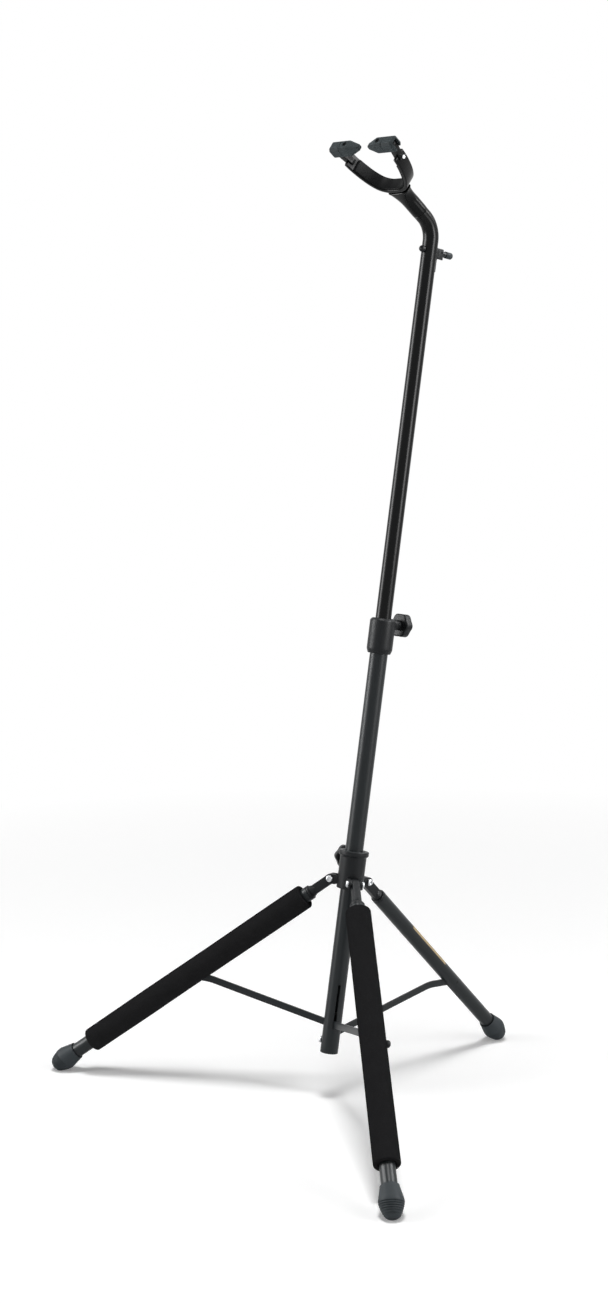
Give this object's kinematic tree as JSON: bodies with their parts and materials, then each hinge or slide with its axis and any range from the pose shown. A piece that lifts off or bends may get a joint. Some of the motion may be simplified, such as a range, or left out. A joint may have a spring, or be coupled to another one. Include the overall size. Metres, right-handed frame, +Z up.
{
  "type": "folding instrument floor stand",
  "caption": "Folding tripod floor stand with a leaning two-stage mast, foam-sleeved front legs, a padded neck yoke with closing gates and a bow peg.",
  "frame": {"origin": "on the floor, at the centre of the part's bounding box in plan", "axes": "+Z up, -Y towards the front, where the two sleeved legs stand and the yoke opens; +X to the right seen from the front"},
  "size_m": [0.7034, 0.5672, 1.2797],
  "materials": {
    "tube_paint": "satin black powder coat",
    "moulded_plastic": "fine moulded texture",
    "gate_plastic": "fine moulded texture",
    "bush_plastic": "smooth, low friction",
    "foot_rubber": "moulded rubber with fine rings",
    "pad_rubber": "soft matte rubber",
    "liner_rubber": "soft matte rubber",
    "sleeve_foam": "matte closed-cell foam",
    "bright_steel": "plain"
  },
  "bodies": {
    "mast_lower": {"mast_lower_tube": "tube_paint", "spreader_block": "moulded_plastic", "spreader_block_screw": "bright_steel", "spreader_pin_left": "bright_steel", "spreader_pin_right": "bright_steel", "spreader_pin_rear": "bright_steel", "clamp_housing": "moulded_plastic", "clamp_bush": "bush_plastic"},
    "clamp_knob": {"clamp_knob": "moulded_plastic"},
    "hub": {"hub_collar": "moulded_plastic", "hub_bush": "bush_plastic", "hub_screw_left_a": "bright_steel", "hub_screw_left_b": "bright_steel", "hub_screw_right_a": "bright_steel", "hub_screw_right_b": "bright_steel", "hub_screw_rear_a": "bright_steel", "hub_screw_rear_b": "bright_steel"},
    "hub_knob": {"hub_knob": "moulded_plastic"},
    "spreader_left": {"spreader_bar_left": "tube_paint"},
    "leg_left": {"leg_tube_left": "tube_paint", "leg_lug_left": "moulded_plastic", "leg_bolt_left": "moulded_plastic", "foot_left": "foot_rubber", "foam_sleeve_left": "sleeve_foam"},
    "spreader_right": {"spreader_bar_right": "tube_paint"},
    "leg_right": {"leg_tube_right": "tube_paint", "leg_lug_right": "moulded_plastic", "leg_bolt_right": "moulded_plastic", "foot_right": "foot_rubber", "foam_sleeve_right": "sleeve_foam"},
    "spreader_rear": {"spreader_bar_rear": "tube_paint"},
    "leg_rear": {"leg_tube_rear": "tube_paint", "leg_lug_rear": "moulded_plastic", "leg_bolt_rear": "moulded_plastic", "foot_rear": "foot_rubber"},
    "mast_upper": {"mast_upper_tube": "tube_paint", "mast_glide": "bush_plastic", "bow_holder_base": "moulded_plastic", "bow_holder_pin": "bright_steel", "bow_holder_bolt": "moulded_plastic"},
    "bow_peg": {"bow_holder_peg": "moulded_plastic", "bow_holder_cap": "pad_rubber"},
    "yoke_neck": {"yoke_neck": "moulded_plastic", "yoke_neck_pin": "bright_steel"},
    "yoke": {"yoke_fork": "moulded_plastic", "yoke_liner": "liner_rubber", "link_pin_left": "bright_steel", "link_pin_right": "bright_steel", "gate_pin_left": "bright_steel", "gate_pin_right": "bright_steel"},
    "gate_left": {"gate_block_left": "gate_plastic", "gate_pad_left": "pad_rubber", "gate_screw_left": "moulded_plastic"},
    "gate_right": {"gate_block_right": "gate_plastic", "gate_pad_right": "pad_rubber", "gate_screw_right": "moulded_plastic"}
  },
  "joints": [
    {"name": "hub_slide", "type": "slide", "parent": "mast_lower", "child": "hub", "axis": [0, 0.1797, 0.9837], "range_m": [0, 0.262]},
    {"name": "spreader_left_turn", "type": "hinge", "parent": "mast_lower", "child": "spreader_left", "pos_m": [-0.00693, -0.05937, 0.103], "axis": [-0.5, 0.8519, -0.1556], "range_deg": [0, 70.2]},
    {"name": "leg_left_fold", "type": "hinge", "parent": "spreader_left", "child": "leg_left", "pos_m": [-0.18768, -0.1571, 0.14875], "axis": [0.5, -0.8519, 0.1556], "range_deg": [0, 112.7]},
    {"name": "spreader_right_turn", "type": "hinge", "parent": "mast_lower", "child": "spreader_right", "pos_m": [0.00693, -0.05937, 0.103], "axis": [-0.5, -0.8519, 0.1556], "range_deg": [0, 70.2]},
    {"name": "leg_right_fold", "type": "hinge", "parent": "spreader_right", "child": "leg_right", "pos_m": [0.18768, -0.1571, 0.14875], "axis": [0.5, 0.8519, -0.1556], "range_deg": [0, 112.7]},
    {"name": "spreader_rear_turn", "type": "hinge", "parent": "mast_lower", "child": "spreader_rear", "pos_m": [0, -0.04995, 0.08776], "axis": [1, 0, 0], "range_deg": [0, 62.5]},
    {"name": "leg_rear_fold", "type": "hinge", "parent": "spreader_rear", "child": "leg_rear", "pos_m": [0, 0.17774, 0.10977], "axis": [-1, 0, 0], "range_deg": [0, 110]},
    {"name": "hub_knob_turn", "type": "hinge", "parent": "hub", "child": "hub_knob", "pos_m": [-0.02598, -0.0004, 0.32013], "axis": [-0.866, 0.4919, -0.0898], "range_deg": [0, 360]},
    {"name": "clamp_knob_turn", "type": "hinge", "parent": "mast_lower", "child": "clamp_knob", "pos_m": [0, 0.07275, 0.63715], "axis": [0, 0.9837, -0.1797], "range_deg": [0, 360]},
    {"name": "height_slide", "type": "slide", "parent": "mast_lower", "child": "mast_upper", "axis": [0, 0.1797, 0.9837], "range_m": [-0.2, 0.03]},
    {"name": "bow_peg_fold", "type": "hinge", "parent": "mast_upper", "child": "bow_peg", "pos_m": [0, 0.15148, 1.13613], "axis": [1, 0, 0], "range_deg": [-90, 0]},
    {"name": "yoke_swivel", "type": "hinge", "parent": "mast_upper", "child": "yoke_neck", "pos_m": [0, 0.11593, 1.1901], "axis": [0, -0.7842, 0.6205], "range_deg": [-90, 90]},
    {"name": "yoke_press", "type": "slide", "parent": "yoke_neck", "child": "yoke", "axis": [0, -0.7842, 0.6205], "range_m": [0, 0.012]},
    {"name": "gate_left_turn", "type": "hinge", "parent": "yoke", "child": "gate_left", "pos_m": [-0.0515, 0.01555, 1.26952], "axis": [0, -0.6205, -0.7842], "range_deg": [0, 95]},
    {"name": "gate_right_turn", "type": "hinge", "parent": "yoke", "child": "gate_right", "pos_m": [0.0515, 0.01555, 1.26952], "axis": [0, 0.6205, 0.7842], "range_deg": [0, 95]}
  ],
  "couplings": [
    {"joint": "spreader_left_turn", "follows": "hub_slide", "rad_per_m": 4.6724},
    {"joint": "leg_left_fold", "follows": "hub_slide", "rad_per_m": 7.5003},
    {"joint": "spreader_right_turn", "follows": "hub_slide", "rad_per_m": 4.6724},
    {"joint": "leg_right_fold", "follows": "hub_slide", "rad_per_m": 7.5003},
    {"joint": "spreader_rear_turn", "follows": "hub_slide", "rad_per_m": 4.1582},
    {"joint": "leg_rear_fold", "follows": "hub_slide", "rad_per_m": 7.3237},
    {"joint": "gate_left_turn", "follows": "yoke_press", "rad_per_m": 138.1},
    {"joint": "gate_right_turn", "follows": "yoke_press", "rad_per_m": 138.1}
  ]
}
